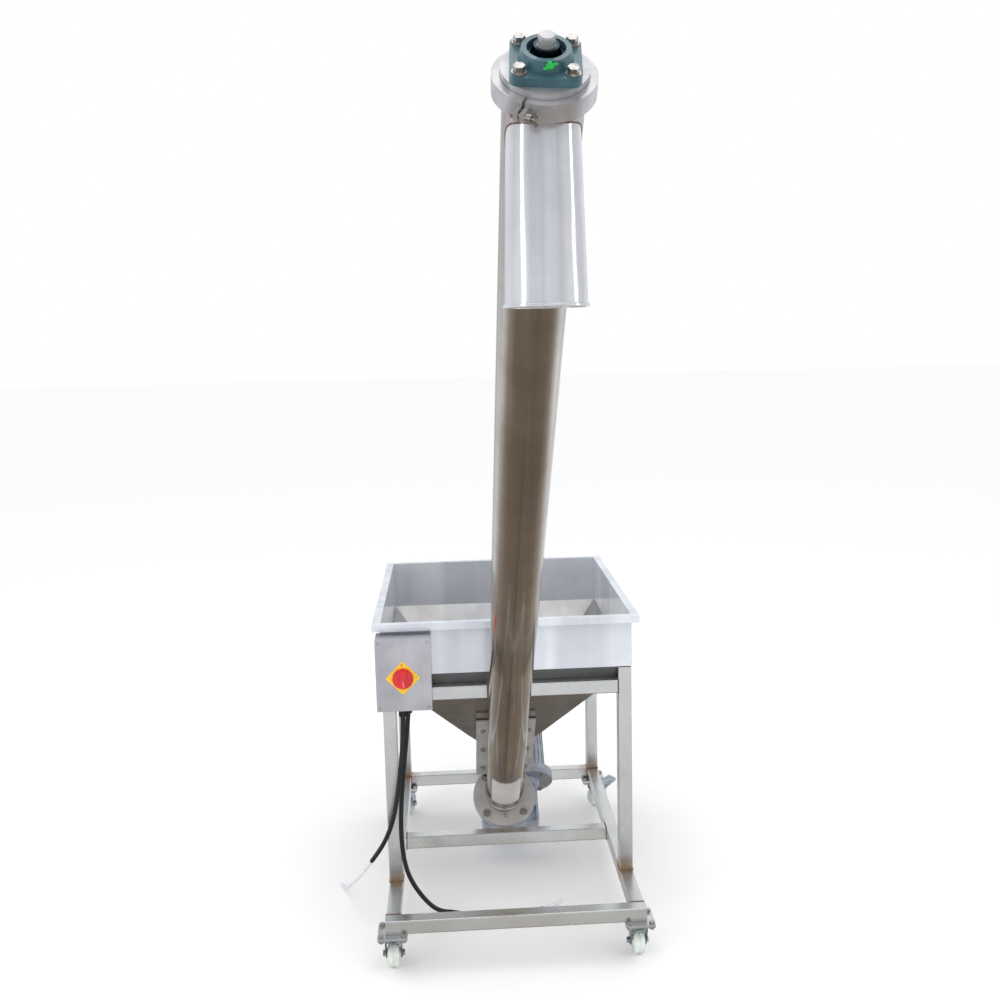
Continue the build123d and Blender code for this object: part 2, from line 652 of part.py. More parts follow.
add("bearing_inner_ring", auger * ring(inner_race, shaft_radius + fit_gap, ring_low, bearing_base + bearing_height + 4))
for x, y in cap_holes:
    pieces = bolt(bearing_bolt, hub_base - 22, hub_base, nut=False, head=0.85 * bearing_bolt, flats=1.4 * bearing_bolt)
    add("bearing_bolts", *[head * Pos(x, y, 0) * piece for piece in pieces])

# Screw: stepped shaft, one flight solid for each turn, two paddles over the spout
shaft_low = gear_centre - gear_half_width - 4
core_end = tube_end - 12
stub_start = bearing_base + bearing_height + 4
shaft = rod(shaft_radius, shaft_low, stub_start) + rod(shaft_end_radius, stub_start, shaft_top)
shaft += rod(core_radius, core_start, core_end)
shaft = chamfer(shaft.edges().group_by(Axis.Z)[-1], 2)
flight_end = flight_from + flight_turns * flight_pitch
for x_side in (-1, 1):
    blade = block(min(0, x_side * (flight_radius - 1)), max(0, x_side * (flight_radius - 1)), -2, 2,
                  flight_end + 20, flight_end + 150)
    shaft += blade
add("screw_shaft", auger * shaft)
blade_root = core_radius + fit_gap
blade_face = Rectangle(flight_radius - blade_root, flight_thickness)
helix = Helix(pitch=flight_pitch, height=flight_pitch, radius=(flight_radius + blade_root) / 2)
start = Plane(origin=helix @ 0, x_dir=(1, 0, 0), z_dir=helix % 0)
turn_solid = sweep(start * blade_face, path=helix, is_frenet=True)
for number in range(flight_turns):
    add("screw_flight", auger * Pos(0, 0, flight_from + number * flight_pitch) * turn_solid)

# Seals: chute gasket, clamp gasket, a shaft seal at each end of the tube
chute_gasket = block(-saddle_width / 2, saddle_width / 2, saddle_height + saddle_plate, chute_face - saddle_plate,
                     saddle_from, saddle_to)
chute_gasket -= block(-inlet_width / 2, inlet_width / 2, 0, 200, inlet_from, inlet_to)
for x, along in bolt_places:
    chute_gasket -= across_plate(rod(chute_bolt / 2 + 0.5, 0, 200), x, along)
add("rubber_seals", auger * chute_gasket)
add("rubber_seals", auger * ring(ferrule_od / 2 - 2, auger_radius - auger_wall, ferrule_top, cap_start))
for low, high in ((flange_start, tube_start), (cap_start + 5, bearing_base)):
    add("rubber_seals", auger * ring(shaft_radius + 4 - fit_gap, shaft_radius + fit_gap, low, high))

# Worm gearbox: across x, up-back y, its output along the auger
out_low = gear_centre - gear_half_width
out_high = gear_centre + gear_half_width
body = block(-gear_left, gear_right, -gear_half_length, gear_half_length, out_low, out_high)
body = fillet(body.edges().filter_by(Axis.Z), 8)
neck_top = flange_start - flange_thickness - 2
body += rod(56, out_high, neck_top) + rod(flange_od / 2, neck_top, flange_start)
worm_axis = Pos(worm_offset, 0, gear_centre) * Rot(-90, 0, 0)
worm_bore = worm_tip + 2
body += worm_axis * rod(55, gear_half_length, motor_face - motor_flange_thickness)
body += worm_axis * rod(motor_flange_radius, motor_face - motor_flange_thickness, motor_face)
body -= rod(worm_wheel_tip + 4, out_low + gear_wall, out_high - gear_wall)
body -= rod(30, out_low - 1, out_low + gear_wall + 1)
body -= rod(24, out_high - gear_wall - 1, neck_top)
body -= rod(shaft_radius + 4, neck_top - 1, flange_start + 1)
body -= worm_axis * rod(worm_bore, -gear_half_length + 8, motor_face - motor_flange_thickness - 4)
body -= worm_axis * rod(worm_cap_radius - 2, -gear_half_length - 1, -gear_half_length + 9)
body -= worm_axis * rod(16, 0, motor_face + 1)
pocket_depth = 22
for y0, y1 in ((-62, -12), (12, 62)):
    body -= block(worm_offset + 5, gear_right - 8, y0, y1, out_high - pocket_depth + 4, out_high + 1)
    body -= block(worm_offset + 5, gear_right - 8, y0, y1, out_low - 1, out_low + pocket_depth - 4)
    body -= block(-gear_left + 8, -gear_left + 17, y0, y1, out_high - pocket_depth, out_high + 1)
    body -= block(-gear_left + 8, -gear_left + 17, y0, y1, out_low - 1, out_low + pocket_depth)
for x, y in flange_bolts:
    body -= Pos(x, y, 0) * rod(flange_bolt / 2 + 0.5, neck_top - 1, flange_start + 1)
add("gearbox_housing", auger * body)
for x, y in flange_bolts:
    add("flange_bolts", *[auger * Pos(x, y, 0) * piece for piece in bolt(flange_bolt, neck_top, tube_start)])
back_cover = rod(48, out_low - 6, out_low) + rod(30 - fit_gap, out_low, out_low + gear_wall - 2)
back_cover -= rod(18, out_low - 7, out_low + gear_wall)
worm_cap = worm_axis * (rod(worm_cap_radius, -gear_half_length - 3, -gear_half_length)
                        + rod(worm_cap_radius - 2 - fit_gap, -gear_half_length, -gear_half_length + 6))
add("gearbox_covers", auger * back_cover, auger * worm_cap)

wheel_half = 18
gear_blank = rod(worm_wheel_tip, gear_centre - wheel_half, gear_centre + wheel_half)
groove = Pos(worm_offset, 0, gear_centre) * Rot(90, 0, 0) * Cylinder(worm_tip + 0.5, 200)
gear_profile = rod(17.5, out_low + 2, out_high - gear_wall + 2) + gear_blank
gear_profile -= rod(shaft_radius + fit_gap, 0, 1000)
tooth_gap = block(worm_wheel_tip - 4, worm_wheel_tip + 5, -1.6, 1.6, -30, 30)
for number in range(worm_wheel_teeth):
    gear_profile -= Pos(0, 0, gear_centre) * Rot(0, 0, 360 * number / worm_wheel_teeth) * Rot(18, 0, 0) * tooth_gap
add("worm_wheel", auger * gear_profile)
worm_low = -gear_half_length + 8
worm = rod(11, worm_low, motor_face - 20) + rod(worm_tip - 6, -34, 34)
thread = Helix(pitch=18, height=54, radius=worm_tip - 3.4)
thread_face = Plane(origin=thread @ 0, x_dir=(1, 0, 0), z_dir=thread % 0) * Rectangle(6, 5)
worm += Pos(0, 0, -27) * sweep(thread_face, path=thread, is_frenet=True)
add("worm", auger * worm_axis * worm)

# Motor along the worm's axis
shell_low = motor_face + motor_flange_thickness
shell_high = motor_face + motor_length
section = Circle(motor_shell_radius)
for number in range(motor_fins):
    section += Rot(0, 0, 360 * number / motor_fins) * Pos((motor_shell_radius - 1 + motor_fin_radius) / 2, 0) * Rectangle(
        motor_fin_radius - motor_shell_radius + 1, 2.6)
section -= Circle(motor_bore)
shell = Pos(0, 0, shell_low) * extrude(section, shell_high - shell_low)
front_shield = rod(motor_flange_radius, motor_face, shell_low) - rod(14, 0, 500)
front_shield += ring(motor_bore - fit_gap, motor_bore - 4, shell_low, shell_low + 8)
rear_shield = rod(motor_fin_radius - 4, shell_high, shell_high + 6) - rod(14, 0, 900)
add("motor_body", *[auger * worm_axis * piece for piece in (shell, front_shield, rear_shield)])
core_low = shell_low + 45
core_high = shell_high - 45
add("motor_stator", auger * worm_axis * ring(motor_bore - fit_gap, 40, core_low, core_high))
fan_low = shell_high + 12
rotor = rod(39.4, core_low, core_high) + rod(13, shell_low + 20, shell_high - 10)
rotor += rod(motor_shaft_radius, motor_face - 20, fan_low + 24)
add("motor_rotor", auger * worm_axis * rotor)
fan = ring(18, motor_shaft_radius + fit_gap, fan_low, fan_low + 20)
for number in range(6):
    fan += Rot(0, 0, 60 * number) * block(16, 60, -1.5, 1.5, fan_low, fan_low + 20)
fan += ring(60, 16, fan_low, fan_low + 2)
add("motor_fan", auger * worm_axis * fan)
cover_start = shell_high - 10
cover_end = cover_start + fan_cover_length
fan_cover = rod(motor_fin_radius + 1.5, cover_start, cover_end) - rod(motor_fin_radius + 0.1, cover_start - 1, cover_end - 1.5)
for number in range(5):
    for sign in (-1, 1):
        fan_cover -= block(-50 + 3 * number, 50 - 3 * number, sign * (8 + 11 * number) - 3, sign * (8 + 11 * number) + 3,
                           cover_end - 5, cover_end + 1)
add("motor_fan_cover", auger * worm_axis * fan_cover)
terminal_low = shell_low + 50
terminal = block(-motor_fin_radius - 42, -motor_fin_radius - 0.2, -38, 38, terminal_low, terminal_low + 90)
terminal = fillet(terminal.edges().filter_by(Axis.X), 6)
terminal -= block(-motor_fin_radius - 38, -motor_fin_radius - 5, -33, 33, terminal_low + 5, terminal_low + 85)
terminal_lid = block(-motor_fin_radius - 47, -motor_fin_radius - 42, -39, 39, terminal_low - 1, terminal_low + 91)
terminal_lid = fillet(terminal_lid.edges().filter_by(Axis.X), 6)
add("motor_terminal_box", auger * worm_axis * terminal, auger * worm_axis * terminal_lid)

# Control box on the left front leg
box_left = -half_width - box_overhang
box_right = box_left + box_width
knob_x = box_left + knob_inset
box_top = box_bottom + box_height
case_front = -box_depth + box_sheet
case = block(box_left, box_right, case_front, 0, box_bottom, box_top)
case -= block(box_left + box_sheet, box_right - box_sheet, case_front - 1, -box_sheet,
              box_bottom + box_sheet, box_top - box_sheet)
for x, z in corners(box_width / 2 - 9, box_height / 2 - 9):
    pillar = Pos(box_left + box_width / 2 + x, 0, box_bottom + box_height / 2 + z) * Rot(90, 0, 0)
    case += pillar * rod(5, box_sheet, -case_front)
    case -= pillar * rod(2 + fit_gap, -case_front - 14, -case_front + 1)
for x, y in (cable_left_gland, cable_right_gland):
    case -= Pos(box_left + x, y, 0) * rod(8 + fit_gap, box_bottom - 1, box_bottom + box_sheet + 1)
add("control_box", case)
cover = block(box_left, box_right, -box_depth, case_front, box_bottom, box_top)
cover = fillet(cover.edges().filter_by(Axis.Y), 3)
knob_place = Pos(knob_x, -box_depth, knob_z) * Rot(90, 0, 0)
cover -= knob_place * rod(6, -5, 5)
screw_places = [(box_left + box_width / 2 + x, box_bottom + box_height / 2 + z)
                for x, z in corners(box_width / 2 - 9, box_height / 2 - 9)]
for x, z in screw_places:
    place = Pos(x, -box_depth, z) * Rot(90, 0, 0)
    cover -= place * rod(2 + fit_gap, -5, 5)
    head = rod(4, 0, 2) + rod(2, -12, 0)
    head -= block(-3.5, 3.5, -0.5, 0.5, 1, 3)
    add("cover_screws", place * head)
add("control_cover", cover)
plate_face = Rot(0, 0, 45) * RectangleRounded(plate_side, plate_side, 5)
switch_plate = extrude(plate_face, 2) - rod(6, -1, 3)
add("switch_plate", knob_place * switch_plate)
switch_body = block(-24, 24, -24, 24, -46, -box_sheet) + rod(5, -46, 0.5)
add("switch_body", knob_place * switch_body)
knob = ring(knob_radius, 0.01, 2.4, 9) + Pos(0, 0, 9 + (knob_length - 9) / 2) * Cone(
    knob_radius - 3, knob_radius - 6, knob_length - 9)
grip_side = knob_radius
for sign in (-1, 1):
    knob -= block(min(sign * 7, sign * 60), max(sign * 7, sign * 60), -60, 60, 12, 60)
knob += rod(5, 1, 3)
add("switch_knob", knob_place * Rot(0, 0, -12) * knob)
for (x, y), radius in ((cable_left_gland, sleeve_radius), (cable_right_gland, sleeve_radius)):
    bore = radius + 0.3
    gland = rod(8, box_bottom - gland_length + 12, box_bottom + box_sheet + 4)
    gland += hexagon(19, box_bottom - 8, box_bottom)
    gland += rod(10, box_bottom - gland_length, box_bottom - 8)
    add("cable_glands", Pos(box_left + x, y, 0) * (gland - rod(bore, 0, 2000)))
    nut = hexagon(20, box_bottom + box_sheet, box_bottom + box_sheet + 4) - rod(8 + fit_gap, 0, 2000)
    add("cable_glands", Pos(box_left + x, y, 0) * nut)

# Loose cables: their points are chosen, straight runs joined by arcs
cable_exit = box_bottom - gland_length
cable_left_route = [
    (-292, -52, 660), (-294, -54, 602), (-301, -56, 530), (-315, -57, 431), (-328, -55, 368),
    (-347, -44, 311), (-374, -6, 250), (-402, 44, 194)]
cable_left_tail = [(-402, 44, 194), (-440, 112, 118), (-482, 192, 45), (-503, 240, 10), (-520, 275, 5)]
cable_right_route = [
    (-278, -26, 660), (-285, -29, 597), (-294, -32, 520), (-304, -34, 430), (-310, -33, 345),
    (-310, -24, 268), (-303, -14, 205), (-290, -2, 155), (-268, 16, 104), (-240, 42, 52),
    (-212, 66, 16), (-172, 71, 7.2), (-118, 50, 7), (-40, 33, 7), (36, 40, 7), (92, 66, 7)]
cable_right_tail = [(92, 66, 7), (126, 81.8, 7), (153, 110, 5)]


def cord(name, route, radius):
    """Round tube along straight runs joined by tangent arcs; prints its bend radii."""
    points = [Vector(*point) for point in route]
    runs = [(b - a).length for a, b in zip(points, points[1:])]
    radii = []
    for number in range(1, len(points) - 1):
        turn = (points[number] - points[number - 1]).get_angle(points[number + 1] - points[number])
        shorter = min(runs[number - 1], runs[number])
        radii.append(0.45 * shorter / tan(radians(turn / 2)))
    path = FilletPolyline(*points, radius=radii)
    section = Plane(origin=path @ 0, z_dir=path % 0) * Circle(radius)
    solid = sweep(section, path=path)
    expected = pi * radius ** 2 * path.length
    print(name, "length", round(path.length), "volume ratio", round(solid.volume / expected, 4),
          "radii", [round(value) for value in radii])
    add(name, solid)


cord("cable_left", cable_left_route, sleeve_radius)
cord("cable_left_end", cable_left_tail, tail_radius)
cord("cable_right", cable_right_route, sleeve_radius)
cord("cable_right_end", cable_right_tail, tail_radius)

# Shift everything so that the origin is on the floor under the middle of the outline
loose = ("cable_left", "cable_left_end", "cable_right", "cable_right_end")
outline = Compound([solid for name, solids in nodes.items() if name not in loose for solid in solids]).bounding_box()
shift = Pos(-(outline.min.X + outline.max.X) / 2, -(outline.min.Y + outline.max.Y) / 2, -outline.min.Z)
print("shift", shift.position, "outline", outline.size)
for name, solids in nodes.items():
    export_step(Compound([shift * solid for solid in solids]), f"parts/{name}.step")
print(len(nodes), "nodes")
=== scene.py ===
import math

import bmesh
import bpy
from mathutils import Matrix, Vector


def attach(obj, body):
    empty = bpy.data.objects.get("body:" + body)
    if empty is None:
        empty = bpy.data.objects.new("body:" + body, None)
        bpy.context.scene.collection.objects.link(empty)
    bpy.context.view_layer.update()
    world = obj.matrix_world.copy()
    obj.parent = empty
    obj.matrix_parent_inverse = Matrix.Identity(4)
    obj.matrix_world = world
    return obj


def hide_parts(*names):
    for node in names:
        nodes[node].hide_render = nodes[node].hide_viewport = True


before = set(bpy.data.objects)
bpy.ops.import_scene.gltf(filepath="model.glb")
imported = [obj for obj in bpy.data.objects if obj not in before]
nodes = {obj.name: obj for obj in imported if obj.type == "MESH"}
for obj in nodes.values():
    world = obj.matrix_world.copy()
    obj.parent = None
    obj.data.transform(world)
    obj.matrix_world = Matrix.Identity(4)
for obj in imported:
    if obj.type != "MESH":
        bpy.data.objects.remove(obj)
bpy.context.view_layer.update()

# where the drawing's own zero lies in this frame, in metres
drawingZero = Vector((-0.024985, 0.328285, 0))
slope = math.radians(45)
# depth in the drawing at which the auger's own line meets the floor
augerFoot = 614


def spot(x, y, z):
    """Millimetres in the drawing to metres in the frame."""
    return Vector((x, y, z)) / 1000 + drawingZero


def tubeSpot(across, height, along):
    """Millimetres in the auger's own directions: across it, square off its upper side, and up the tube."""
    return spot(across, augerFoot + (height - along) * math.cos(slope), (height + along) * math.sin(slope))


# ---------- camera ----------
# angles in degrees, lens in millimetres, shifts as shares of the width
view = {
    "sensorMm": 36,
    "farthest": 100,
    "place": spot(-139.7, -2893.2, 1692.8),
    "yaw": 3.2656,
    "pitch": 8.1810,
    "roll": -1.2910,
    "lens": 38.668,
    "shiftX": -0.01222,
    "shiftY": -0.01242,
}


def addCamera():
    yaw, pitch, roll = (math.radians(view[k]) for k in ("yaw", "pitch", "roll"))
    forward = Vector((math.sin(yaw) * math.cos(pitch), math.cos(yaw) * math.cos(pitch),
                      -math.sin(pitch)))
    right = Vector((math.cos(yaw), -math.sin(yaw), 0))
    up = right.cross(forward)
    side = math.cos(roll) * right + math.sin(roll) * up
    top = -math.sin(roll) * right + math.cos(roll) * up
    turn = Matrix((side, top, -forward)).transposed()
    data = bpy.data.cameras.new("camera")
    data.lens = view["lens"]
    data.sensor_width = view["sensorMm"]
    data.shift_x = view["shiftX"]
    data.shift_y = view["shiftY"]
    data.clip_end = view["farthest"]
    camera = bpy.data.objects.new("camera", data)
    camera.matrix_world = Matrix.Translation(view["place"]) @ turn.to_4x4()
    bpy.context.scene.collection.objects.link(camera)
    bpy.context.scene.camera = camera


addCamera()


# ---------- materials ----------
def colour(code):
    """sRGB hex to linear RGBA."""
    parts = [int(code[i:i + 2], 16) / 255 for i in (1, 3, 5)]
    return [p / 12.92 if p <= 0.04045 else ((p + 0.055) / 1.055) ** 2.4 for p in parts] + [1]


def addNode(tree, kind, inputs=None, **settings):
    node = tree.nodes.new(kind)
    for name, value in settings.items():
        setattr(node, name, value)
    for name, value in (inputs or {}).items():
        if isinstance(value, bpy.types.NodeSocket):
            tree.links.new(value, node.inputs[name])
        else:
            node.inputs[name].default_value = value
    return node


def newFinish(name):
    material = bpy.data.materials.new(name)
    material.use_nodes = True
    tree = material.node_tree
    tree.nodes.clear()
    surface = addNode(tree, "ShaderNodeBsdfPrincipled")
    addNode(tree, "ShaderNodeOutputMaterial", {"Surface": surface.outputs["BSDF"]})
    place = addNode(tree, "ShaderNodeTexCoord").outputs["Object"]
    return material, tree, surface, place


def blendColours(tree, amount, first, second):
    mix = addNode(tree, "ShaderNodeMix", {"Factor": amount}, data_type="RGBA")
    for number, value in ((6, first), (7, second)):
        if isinstance(value, bpy.types.NodeSocket):
            tree.links.new(value, mix.inputs[number])
        else:
            mix.inputs[number].default_value = value
    return mix.outputs[2]


def spread(tree, value, low, high, toLow, toHigh):
    """Map a value between low and high to toLow and toHigh, held at both ends."""
    return addNode(tree, "ShaderNodeMapRange", {
        "Value": value, "From Min": low, "From Max": high, "To Min": toLow, "To Max": toHigh}).outputs[0]


# colours that welding leaves round a joint: tone, where it starts to fade and ends in metres, strength
heatTints = (("#93695f", 0.030, 0.058, 0.5), ("#d9c08c", 0.022, 0.034, 0.45))
heatRagged = 0.012
# painted reflection: pale and darker bands drawn out upwards, for the streaks the room mirrors in a polished
# sheet
paintedStreaks = {"perMetre": (9, 9, 0.6), "from": 0.45, "to": 0.62, "tone": "#8d929c"}
grainStretch = 60
grainShare = 0.35
# slow dents per metre, along the grain and across it
dentsAlong = 2.5
dentsAcross = 11


def stainless(name, light, dark, rough, grainMm, along, cloudMm=90, bump=0.02, turn=0.0, smudge=0.05,
              wave=0.0, tinted=(), metal=1.0, streak=0.0):
    """Stainless steel: fine grain that runs one way, over slow clouds from rolling and polishing."""
    material, tree, surface, place = newFinish(name)
    stretch = [1000 / grainMm] * 3
    stretch[along] = 1000 / (grainMm * grainStretch)
    mapped = addNode(tree, "ShaderNodeMapping", {"Vector": place, "Rotation": (turn, 0, 0),
                                                 "Scale": stretch})
    grain = addNode(tree, "ShaderNodeTexNoise", {"Vector": mapped.outputs[0], "Scale": 1, "Detail": 3})
    clouds = addNode(tree, "ShaderNodeTexNoise", {"Vector": place, "Scale": 1000 / cloudMm, "Detail": 4,
                                                  "Roughness": 0.6})
    shade = spread(tree, clouds.outputs["Fac"], 0.3, 0.7, 0, 1)
    tone = blendColours(tree, shade, colour(light), colour(dark))
    fine = spread(tree, grain.outputs["Fac"], 0.25, 0.75, 0, grainShare)
    tone = blendColours(tree, fine, tone, colour(dark))
    # painted reflection: blue-grey bands up the sheet, as strong as streak asks
    drawn = addNode(tree, "ShaderNodeMapping", {"Vector": place, "Scale": paintedStreaks["perMetre"]})
    bands = addNode(tree, "ShaderNodeTexNoise", {"Vector": drawn.outputs[0], "Scale": 1, "Detail": 3})
    banded = spread(tree, bands.outputs["Fac"], paintedStreaks["from"], paintedStreaks["to"], 0, streak)
    tone = blendColours(tree, banded, tone, colour(paintedStreaks["tone"]))
    for joint in tinted:
        away = addNode(tree, "ShaderNodeVectorMath", {0: place, 1: joint}, operation="DISTANCE")
        uneven = spread(tree, clouds.outputs["Fac"], 0.3, 0.7, -heatRagged, heatRagged)
        ragged = addNode(tree, "ShaderNodeMath", {0: away.outputs["Value"], 1: uneven}).outputs[0]
        for tint, near, far, strength in heatTints:
            tone = blendColours(tree, spread(tree, ragged, near, far, strength, 0), tone, colour(tint))
    tree.links.new(tone, surface.inputs["Base Color"])
    smudged = spread(tree, clouds.outputs["Fac"], 0.3, 0.7, rough, rough + smudge)
    scratched = spread(tree, grain.outputs["Fac"], 0.2, 0.8, 0, 0.06)
    wear = addNode(tree, "ShaderNodeMath", {0: smudged, 1: scratched})
    tree.links.new(wear.outputs[0], surface.inputs["Roughness"])
    perMetre = [dentsAlong if axis == along else dentsAcross for axis in range(3)]
    slow = addNode(tree, "ShaderNodeMapping", {"Vector": place, "Rotation": (turn, 0, 0), "Scale": perMetre})
    dents = addNode(tree, "ShaderNodeTexNoise", {"Vector": slow.outputs[0], "Scale": 1, "Detail": 2})
    waves = addNode(tree, "ShaderNodeBump", {"Height": dents.outputs["Fac"], "Strength": 1,
                                             "Distance": wave / 1000})
    relief = addNode(tree, "ShaderNodeBump", {"Height": grain.outputs["Fac"], "Strength": bump,
                                              "Distance": 0.0005, "Normal": waves.outputs[0]})
    tree.links.new(relief.outputs[0], surface.inputs["Normal"])
    surface.inputs["Metallic"].default_value = metal
    return material


# painted shade on a casting's face that turns down: its tone, and half the width of its edge in metres
flangeShade = {"tone": "#a2a6ae", "edge": 0.0005}


def castMetal(name, light, dark, rough, grainMm, metallic, bump=0.35, coat=0.0, shadedFrom=None):
    """Sand-cast skin: pebbled at the size of the casting sand, darker in its hollows."""
    material, tree, surface, place = newFinish(name)
    pebble = addNode(tree, "ShaderNodeTexNoise", {"Vector": place, "Scale": 1000 / grainMm, "Detail": 4,
                                                  "Roughness": 0.6})
    patch = addNode(tree, "ShaderNodeTexNoise", {"Vector": place, "Scale": 1000 / (grainMm * 14),
                                                 "Detail": 3})
    shade = spread(tree, patch.outputs["Fac"], 0.3, 0.7, 0, 1)
    tone = blendColours(tree, shade, colour(light), colour(dark))
    hollow = spread(tree, pebble.outputs["Fac"], 0.3, 0.5, 0.5, 0)
    tone = blendColours(tree, hollow, tone, colour(dark))
    # painted shade: past a plane the cast tone goes darker, for the shade on the flange's downward face
    if shadedFrom:
        start, direction = shadedFrom
        reach = addNode(tree, "ShaderNodeVectorMath", {0: place, 1: direction}, operation="DOT_PRODUCT")
        edge = start.dot(Vector(direction))
        shadedSide = spread(tree, reach.outputs["Value"], edge - flangeShade["edge"], edge + flangeShade["edge"], 0, 1)
        tone = blendColours(tree, shadedSide, tone, colour(flangeShade["tone"]))
    tree.links.new(tone, surface.inputs["Base Color"])
    tree.links.new(spread(tree, pebble.outputs["Fac"], 0.3, 0.7, rough + 0.1, rough),
                   surface.inputs["Roughness"])
    relief = addNode(tree, "ShaderNodeBump", {"Height": pebble.outputs["Fac"], "Strength": bump,
                                              "Distance": 0.0006})
    tree.links.new(relief.outputs[0], surface.inputs["Normal"])
    surface.inputs["Metallic"].default_value = metallic
    surface.inputs["Coat Weight"].default_value = coat
    surface.inputs["Coat Roughness"].default_value = 0.12
    return material


def platedSteel(name, light, dark, rough, cloudMm, bump=0.05):
    """Turned or pressed steel with a thin plating, whose colour wanders over the piece."""
    material, tree, surface, place = newFinish(name)
    clouds = addNode(tree, "ShaderNodeTexNoise", {"Vector": place, "Scale": 1000 / cloudMm, "Detail": 5,
                                                  "Roughness": 0.65})
    shade = spread(tree, clouds.outputs["Fac"], 0.35, 0.65, 0, 1)
    tree.links.new(blendColours(tree, shade, colour(light), colour(dark)), surface.inputs["Base Color"])
    tree.links.new(spread(tree, clouds.outputs["Fac"], 0.3, 0.7, rough, rough + 0.15),
                   surface.inputs["Roughness"])
    marks = addNode(tree, "ShaderNodeTexNoise", {"Vector": place, "Scale": 1000 / 1.2, "Detail": 2})
    relief = addNode(tree, "ShaderNodeBump", {"Height": marks.outputs["Fac"], "Strength": bump,
                                              "Distance": 0.0003})
    tree.links.new(relief.outputs[0], surface.inputs["Normal"])
    surface.inputs["Metallic"].default_value = 1
    return material


def mouldedPlastic(name, light, dark, rough, grainMm, bump=0.1, ior=1.5, glow=0.0, coat=0.0):
    """Injection-moulded plastic: an even colour, a fine spark-eroded grain and slight scuffs."""
    material, tree, surface, place = newFinish(name)
    grain = addNode(tree, "ShaderNodeTexNoise", {"Vector": place, "Scale": 1000 / grainMm, "Detail": 2})
    scuff = addNode(tree, "ShaderNodeTexNoise", {"Vector": place, "Scale": 1000 / 18, "Detail": 5,
                                                 "Roughness": 0.7})
    shade = spread(tree, scuff.outputs["Fac"], 0.4, 0.7, 0, 1)
    tree.links.new(blendColours(tree, shade, colour(light), colour(dark)), surface.inputs["Base Color"])
    tree.links.new(spread(tree, scuff.outputs["Fac"], 0.3, 0.7, rough, rough + 0.12),
                   surface.inputs["Roughness"])
    relief = addNode(tree, "ShaderNodeBump", {"Height": grain.outputs["Fac"], "Strength": bump,
                                              "Distance": 0.0003})
    tree.links.new(relief.outputs[0], surface.inputs["Normal"])
    surface.inputs["IOR"].default_value = ior
    surface.inputs["Subsurface Weight"].default_value = glow
    surface.inputs["Subsurface Radius"].default_value = (0.004, 0.004, 0.003)
    surface.inputs["Subsurface Scale"].default_value = 1
    surface.inputs["Coat Weight"].default_value = coat
    return material


# middles of the joints where the legs are welded to the base, in the drawing's millimetres
footJoints = [(side * 331, depth, 152) for side in (-1, 1) for depth in (19, 757)]
# polished 304 pipe: drawn lines along the pipe, warm where it was buffed
polishedPipe = stainless("polishedStainlessPipe", "#ccc4bb", "#b0a79d", 0.09, 1.2, 2, 160, 0.02, -slope,
                         wave=1.2)
# the spout is rolled from bright sheet and buffed along its length
buffedSpout = stainless("buffedStainlessSpout", "#efeff0", "#dcdcde", 0.12, 1.0, 2, 70, 0.02, wave=5,
                        metal=0.65, streak=0.2)
# bright-annealed sheet, mirror-like but soft, with a faint vertical rolling grain
brightSheet = stainless("brightStainlessSheet", "#f2f4f9", "#dfe3ea", 0.13, 1.0, 2, 140, 0.015, wave=2.5,
                        metal=0.48, streak=0.28)
# the slopes are the same sheet with the mill finish left on
millSheet = stainless("millStainlessSheet", "#b9b8b6", "#9f9d9a", 0.20, 1.4, 2, 110, 0.03, wave=2,
                      metal=0.9, streak=0.3)
# polished square tube, grain along each tube is too fine to tell, so one slow grain serves all
polishedRail = stainless("polishedStainlessRail", "#e8e8e5", "#d3d3d0", 0.22, 0.8, 2, 160, 0.02, smudge=0.03,
                         wave=1, tinted=[spot(*joint) for joint in footJoints])
# number 4 brushed case, grain runs up the box
brushedCase = stainless("brushedStainlessCase", "#e4e2e6", "#cccace", 0.34, 0.7, 2, 80, 0.06)
# the clean-out cover is satin, so it takes the light from above
satinCover = stainless("satinStainlessCover", "#fbfbfa", "#eceae8", 0.42, 0.8, 2, 60, 0.03, -slope,
                       metal=0.55)
# faced flange with the lathe's finish left on
facedFlange = stainless("facedStainlessFlange", "#d5d2d0", "#b8b4b1", 0.36, 0.8, 0, 50, 0.04, metal=0.3)
# the chute sits under the hopper, so its sheet is painted darker all round: painted shade
shadedChuteSheet = stainless("chuteSheetPaintedShade", "#938b84", "#6d645e", 0.28, 1.4, 2, 40, 0.03, wave=1)
turnedSteel = stainless("turnedStainless", "#cfced0", "#adacae", 0.18, 0.6, 0, 40, 0.03, metal=0.65)
boltSteel = platedSteel("stainlessFastener", "#d6d3ce", "#a39d95", 0.18, 6)
zincPlate = platedSteel("brightZincPlate", "#c3ccd4", "#97a2ad", 0.24, 14)
groundSteel = platedSteel("groundBearingSteel", "#d8d9dc", "#b9bbc0", 0.08, 20)
# dark blue-grey on the bearing's rings: the seal's own dark colour, and painted shade on the inner ring down in
# the recess round the shaft
sealAndRecessShade = platedSteel("darkSealAndRecessShade", "#46535c", "#27323b", 0.25, 12)
darkIron = platedSteel("machinedIron", "#6a6865", "#45423f", 0.35, 10)
gearBronze = platedSteel("machinedBronze", "#b98a4a", "#8f6632", 0.28, 12)
